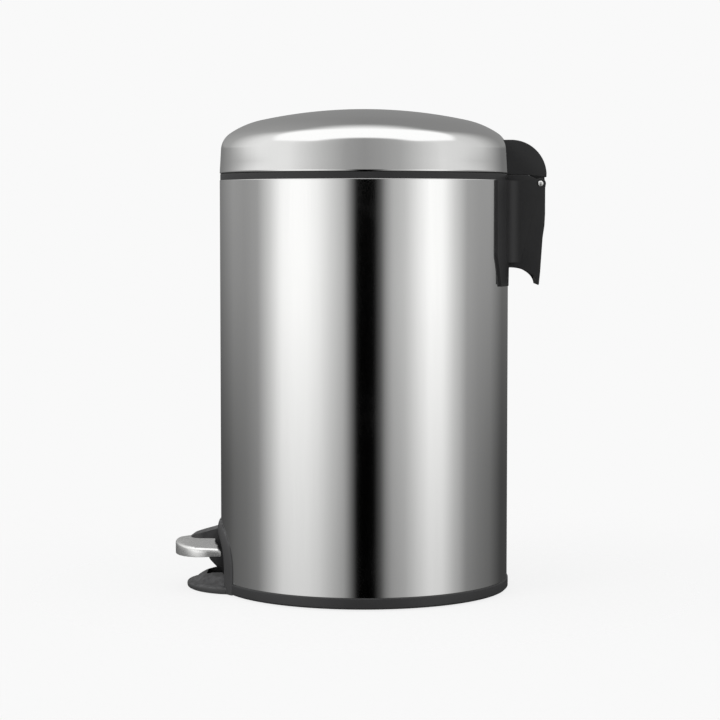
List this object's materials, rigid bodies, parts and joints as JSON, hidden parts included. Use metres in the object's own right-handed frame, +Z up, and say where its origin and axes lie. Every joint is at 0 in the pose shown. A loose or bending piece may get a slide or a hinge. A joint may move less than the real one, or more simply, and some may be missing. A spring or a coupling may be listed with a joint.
{
  "type": "pedal waste bin",
  "caption": "Round steel step-pedal waste bin with a domed self-closing lid, a rear hinge housing with a carry grip, and a lift-out plastic bucket.",
  "frame": {"origin": "on the floor under the axis of the steel body", "axes": "+Z up; the pedal faces -Y, the hinge +Y, and +X is to the right of someone looking from the pedal to the hinge"},
  "size_m": [0.252, 0.3218, 0.4163],
  "materials": {
    "polished_steel": "mirror-polished stainless sheet",
    "pedal_steel": "brushed top, polished edges",
    "black_plastic": "fine matte grain",
    "black_rubber": "matte",
    "zinc_steel": "bright zinc plate",
    "plated_steel": "satin zinc plate",
    "natural_nylon": "satin",
    "bucket_plastic": "satin moulded",
    "grip_plastic": "matte"
  },
  "bodies": {
    "body": {"body_shell": "polished_steel", "top_collar": "black_plastic", "base_ring": "black_plastic", "foot_ring": "black_rubber", "pedal_surround": "black_plastic", "surround_screws": "zinc_steel", "hinge_housing": "black_plastic", "clamp_plate": "plated_steel", "housing_screws": "zinc_steel", "hinge_pin": "zinc_steel", "rod_guide_upper": "natural_nylon", "rod_guide_lower": "natural_nylon", "pivot_bracket": "plated_steel", "bracket_screws": "zinc_steel", "pivot_axle": "zinc_steel", "axle_clips": "zinc_steel"},
    "lid": {"lid_dome": "polished_steel", "lid_ring": "black_plastic", "lid_buffers": "black_rubber", "hinge_cap": "black_plastic", "hinge_arm": "plated_steel", "backing_plate": "plated_steel", "cap_screws": "zinc_steel"},
    "pedal": {"pedal_plate": "pedal_steel", "pedal_core": "black_plastic", "pedal_lever": "plated_steel", "lever_bushes": "natural_nylon", "pedal_screws": "zinc_steel"},
    "rod": {"push_rod": "zinc_steel", "rod_clips": "zinc_steel"},
    "bucket": {"bucket": "bucket_plastic"},
    "bail": {"bail_wire": "zinc_steel", "bail_grip": "grip_plastic"}
  },
  "joints": [
    {"name": "lid_hinge", "type": "hinge", "parent": "body", "child": "lid", "pos_m": [0, 0.1513, 0.3521], "axis": [-1, 0, 0], "range_deg": [0, 72]},
    {"name": "pedal_press", "type": "hinge", "parent": "body", "child": "pedal", "pos_m": [0, -0.045, 0.026], "axis": [1, 0, 0], "range_deg": [0, 8.72]},
    {"name": "push_rod_lift", "type": "slide", "parent": "body", "child": "rod", "axis": [0, 0, 1], "range_m": [0, 0.0247]},
    {"name": "bucket_lift", "type": "slide", "parent": "body", "child": "bucket", "axis": [0, 0, 1], "range_m": [0, 0.012]},
    {"name": "bail_swing", "type": "hinge", "parent": "bucket", "child": "bail", "pos_m": [0, 0, 0.3552], "axis": [-1, 0, 0], "range_deg": [0, 10]}
  ],
  "couplings": [
    {"joint": "pedal_press", "follows": "lid_hinge", "ratio": 0.12111},
    {"joint": "push_rod_lift", "follows": "lid_hinge", "m_per_rad": 0.019658}
  ]
}
